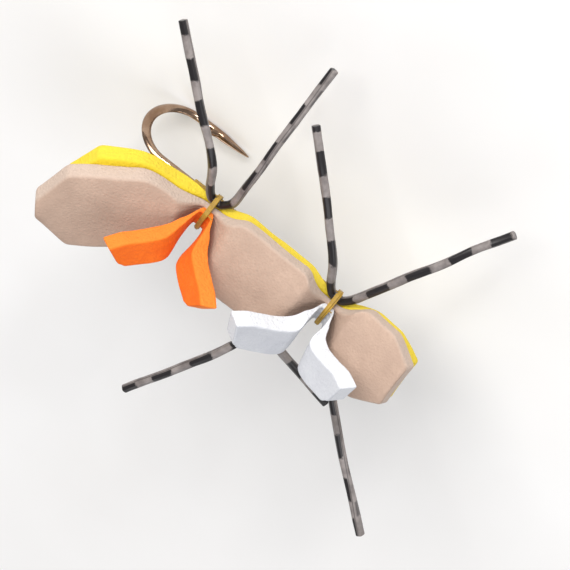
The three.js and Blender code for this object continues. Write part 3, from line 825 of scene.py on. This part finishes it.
# The wraps at a tie: X travels across the band and back while the thread goes round the outline.
def tieWraps(name, tie, seed, tagEnd):
    turnsUnder, reach = threadSettings["turnsUnder"], threadSettings["spread"]
    total = turnsUnder + threadSettings["turnsOver"]
    shares = np.linspace(0, total, int(total * 120))
    out, facing = tautOutline(shares)
    across = np.interp(shares, [0, turnsUnder, total], [-reach, reach, -threadSettings["spreadBack"]])
    jitter = wobble(np.stack([shares * 1.7, 0 * shares, 0 * shares], -1), 1.0, seed)
    over = smooth(shares, turnsUnder - 0.3, turnsUnder + 0.3)
    across = across + jitter * lerp(0.012, 0.07, over)
    height = 0.1 + 0.1 * over + 0.012 * jitter
    ring = out + facing * height[:, None]
    line = np.stack([tie + across, ring[:, 0], ring[:, 1]], -1)
    made = [threadTube(name, line, np.array([1.0, 0, 0]))]
    tag, _ = curveThrough(np.array(tagEnd) + np.array([tie, 0, 0]), 40)
    made.append(threadTube(f"{name}Tag", tag, np.array([0.3, 0.2, 1.0])))
    return joined(name, made)


rearTag = [[0.2, 1.1, 3.1], [0.45, 1.35, 3.3], [0.8, 1.45, 3.6]]
rearWraps = tieWraps("rearWraps", body["rearTie"], 51, rearTag)
rearWraps.data.materials.append(bareThread)
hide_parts("rear_thread_band")
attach(rearWraps, "root")

frontTag = [[0.1, 1.15, 3.1], [0.35, 1.5, 3.35], [0.5, 2.1, 3.9]]
frontWraps = tieWraps("frontWraps", body["frontTie"], 57, frontTag)
frontWraps.data.materials.append(bareThread)
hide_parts("front_thread_band")
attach(frontWraps, "root")
print("thread made")


# Rubber legs: each half strand runs from the middle of its tie to its tip.
# Dark bars are printed along one side: a pulse of the distance along, where the side faces the print. The
# other side has fainter bars in the gaps, and a dark line of painted shade runs where the two sides meet.
def legSurface():
    material, tree, shader, place = newSurface("barredRubber")
    at = place.outputs["Object"]
    flow = tree.nodes.new("ShaderNodeSeparateXYZ")
    feed(tree, flow.inputs[0], place.outputs["UV"])
    along, around = flow.outputs[0], flow.outputs[1]
    ragged = spread(tree, noise(tree, at, 1500, 3, 0.6), -0.5, 0.5)
    slow = spread(tree, noise(tree, at, 160, 1, 0.5), -0.9, 0.9)
    length = compute(tree, "ADD", along, compute(tree, "ADD", ragged, slow))
    phase = compute(tree, "MULTIPLY", length, 2 * np.pi / legSettings["barPeriod"])
    cycle = compute(tree, "SINE", phase)
    bar = spread(tree, cycle, 0, 1, -0.22, 0.02)
    facing = compute(tree, "COSINE", compute(tree, "MULTIPLY", around, 2 * np.pi))
    printed = spread(tree, facing, 0, 1, -0.1, 0.12)
    behind = spread(tree, facing, 0.85, 0, -0.8, -0.45)
    gapBar = spread(tree, cycle, 0.8, 0, -0.5, -0.2)
    front = compute(tree, "MULTIPLY", bar, printed)
    rear = compute(tree, "MULTIPLY", gapBar, behind)
    # Painted shade: a thin dark line along each side of the strand, drawn in the print colour.
    fromEdge = compute(tree, "ABSOLUTE", compute(tree, "ADD", facing, 0.18))
    paintedShadeLine = spread(tree, fromEdge, 0.7, 0, 0.02, 0.16)
    dark = compute(tree, "MAXIMUM", compute(tree, "MAXIMUM", front, rear), paintedShadeLine)
    cloud = spread(tree, noise(tree, at, 700, 3, 0.6), 0, 1, 0.35, 0.65)
    grey = blendColor(tree, cloud, *legSettings["grey"])
    feed(tree, shader.inputs["Base Color"], blendColor(tree, dark, grey, legSettings["print"]))
    feed(tree, shader.inputs["Roughness"], spread(tree, dark, 0.42, 0.3))
    feed(tree, shader.inputs["Normal"], raised(tree, noise(tree, at, 3200, 2, 0.6), 1.4e-5, 0.5))
    return material


rubber = legSurface()

# Elbow and tip are measured from the bound middle's end: along the body, outwards and up.
legShapes = {
    "rear_port_back_leg": {
        "elbow": (1.1, 2.6, 0), "tip": (11.6, 12, -3.4), "turn": 0.4, "twist": 0.10,
    },
    "rear_port_front_leg": {
        "elbow": (0.1, 3, -0.2), "tip": (-0.1, 17, -5.6), "turn": 2.6, "twist": 0.07,
    },
    "rear_starboard_back_leg": {
        "elbow": (1.3, 2.5, 0), "tip": (11, 9.9, 0), "turn": 1.2, "twist": -0.08,
    },
    "rear_starboard_front_leg": {
        "elbow": (1.8, 2.4, -0.3), "tip": (19.3, 9.8, -1.2), "turn": 1.0, "twist": 0.05,
    },
    "front_port_back_leg": {
        "elbow": (1.2, 2.6, 0), "tip": (10.4, 12, -3.4), "turn": 1.5, "twist": -0.06,
    },
    "front_port_front_leg": {
        "elbow": (1.1, 2.8, 0), "tip": (8, 15.8, -4.6), "turn": 1.1, "twist": 0.06,
    },
    "front_starboard_back_leg": {
        "elbow": (1.2, 2.6, 0.4), "tip": (9.4, 19, 5.8), "turn": 1.3, "twist": 0.05,
    },
    "front_starboard_front_leg": {
        "elbow": (1.4, 2.6, 0.3), "tip": (15.2, 15.6, 4.4), "turn": 1.2, "twist": -0.05,
    },
}


# A half strand: a rounded square, |x|^n + |y|^n = half^n, turned slowly as it goes out along its spline.
def legStrand(name, shape, seed):
    tieName, sideName, endName, _ = name.split("_")
    tie = body["rearTie"] if tieName == "rear" else body["frontTie"]
    side = 1 if sideName == "port" else -1
    end = 1 if endName == "front" else -1
    reach, flare = legSettings["reach"], legSettings["flare"]
    knee = lerp(legSettings["straight"], reach, 0.5)
    root = np.array([tie + end * reach, side * (legInset + flare), layerTop])
    offset = np.array([end, side, 1.0])
    elbow = root + offset * np.array(shape["elbow"])
    tip = root + offset * np.array(shape["tip"])
    half = (elbow + tip) / 2 + np.array([0, side * legSettings["bow"][0], legSettings["bow"][1]])
    kneeOut = side * (legInset + flare * legSettings["kneeShare"])
    start = np.array([tie + end * legSettings["straight"], side * legInset, layerTop])
    points = np.vstack([[tie, side * legInset, layerTop], start, [tie + end * knee, kneeOut, layerTop],
                        root, elbow, half, tip])
    total = curveThrough(points, 2)[1][-1]
    rows = np.linspace(0, 1 - 0.1 / total, legSettings["rows"])
    shares = np.r_[rows, 1 - np.array([0.06, 0.03, 0.01, 0]) / total]
    line, along = curveThrough(points, shares)
    fine = np.linspace(0, 1, 900)
    heading = headingOf(curveThrough(points, fine)[0])
    tangent = unit(np.stack([np.interp(shares, fine, heading[:, i]) for i in range(3)], -1))
    out = smooth(along, 4, 9)[:, None]
    straightened = np.stack([along, 0 * along, 0 * along], -1)
    sway = np.stack([wobble(straightened, 7, seed + i) for i in range(3)], -1)
    line = line + out * legSettings["sway"] * sway
    across = unit(np.cross(tangent, np.array([0, 0, 1.0])))
    above = np.cross(across, tangent)
    angle = np.linspace(0, 2 * np.pi, legSettings["columns"], endpoint=False)
    power = legSettings["square"]
    corners = (np.abs(np.cos(angle)) ** power + np.abs(np.sin(angle)) ** power) ** (-1 / power)
    spin = shape["turn"] + shape["twist"] * np.maximum(0, along - 3) + 0.25 * np.sin(along / 3.1 + seed)
    size = legSettings["half"] * (1 + 0.03 * wobble(straightened, 2.5, seed + 5))
    size = size * lerp(0.94, 1, smooth(along, 0.5, 2.0)) - endInset(total - along, 0.07)
    radius = size[:, None] * corners[None, :]
    turn = angle[None, :] + spin[:, None]
    rings = (line[:, None] + across[:, None] * (radius * np.cos(turn))[..., None]
             + above[:, None] * (radius * np.sin(turn))[..., None])
    marks = np.zeros(rings.shape[:2])
    legLabel = tieName + sideName.title() + endName.title() + "Leg"
    made = skin(legLabel, *withCaps(rings, along, marks, (0.85, 0.4)))
    made.data.materials.append(rubber)
    ahead = end * (reach - legSettings["chord"])
    outwards = side * flare * legSettings["chordRise"]
    stop = root + unit(np.array([ahead, outwards, 0.0])) * legSettings["blendEnd"]
    return made, Vector(start / 1000), Vector(stop / 1000)


for number, (legName, legShape) in enumerate(legShapes.items()):
    leg, bendStart, bendStop = legStrand(legName, legShape, 61 + 7 * number)
    stands = [legName]
    if legName.endswith("back_leg"):
        stands.append(legName.replace("back_leg", "leg_root"))
    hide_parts(*stands)
    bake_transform(leg)
print("legs made")

# Floor and light.
stageSettings = {
    "half": 1200.0, "below": -8.03,
    "pale": ((0.80, 0.79, 0.78), (0.84, 0.835, 0.83)),
    "world": 0.36, "worldColor": (0.95, 0.96, 1.0, 1),
}


# A flat square under the fly, in two pale tones with a faint tooth.
def floorPlane():
    half, low = stageSettings["half"], stageSettings["below"]
    corners = np.array([[-half, -half, low], [half, -half, low], [half, half, low], [-half, half, low]]) / 1000
    mesh = bpy.data.meshes.new("floor")
    mesh.from_pydata(corners.tolist(), [], [(0, 1, 2, 3)])
    made = bpy.data.objects.new("floor", mesh)
    bpy.context.collection.objects.link(made)
    material, tree, shader, place = newSurface("paleFloor")
    at = place.outputs["Object"]
    tone = spread(tree, noise(tree, at, 40, 3, 0.5), 0, 1, 0.3, 0.7)
    feed(tree, shader.inputs["Base Color"], blendColor(tree, tone, *stageSettings["pale"]))
    feed(tree, shader.inputs["Roughness"], 0.75)
    feed(tree, shader.inputs["Normal"], raised(tree, noise(tree, at, 900, 3, 0.6), 2e-5, 0.15))
    mesh.materials.append(material)
    return made


floor = floorPlane()


# A soft square light: power in watts, side in millimetres, shining at the fly's middle.
def softLight(name, heading, away, side, power, color):
    data = bpy.data.lights.new(name, "AREA")
    data.shape = "SQUARE"
    data.size = side / 1000
    data.energy = power
    data.color = color
    made = bpy.data.objects.new(name, data)
    bpy.context.collection.objects.link(made)
    direction = Vector(heading).normalized()
    made.location = (direction * away + Vector(viewSettings["target"])) / 1000
    made.rotation_euler = direction.to_track_quat("Z", "Y").to_euler()
    return made


softLight("keyLight", (-0.45, 0.72, 0.62), 620, 420, 3.6, (1.0, 0.98, 0.95))
softLight("fillLight", (0.75, 0.25, 0.8), 760, 560, 1.7, (0.95, 0.97, 1.0))
softLight("sparkLight", (-0.1, 0.9, 0.35), 420, 60, 0.55, (1.0, 1.0, 1.0))
softLight("rimLight", (0.2, -0.85, 0.55), 800, 500, 1.6, (1.0, 0.99, 0.97))

world = bpy.data.worlds.new("world")
bpy.context.scene.world = world
world.use_nodes = True
background = world.node_tree.nodes["Background"]
background.inputs["Color"].default_value = stageSettings["worldColor"]
background.inputs["Strength"].default_value = stageSettings["world"]
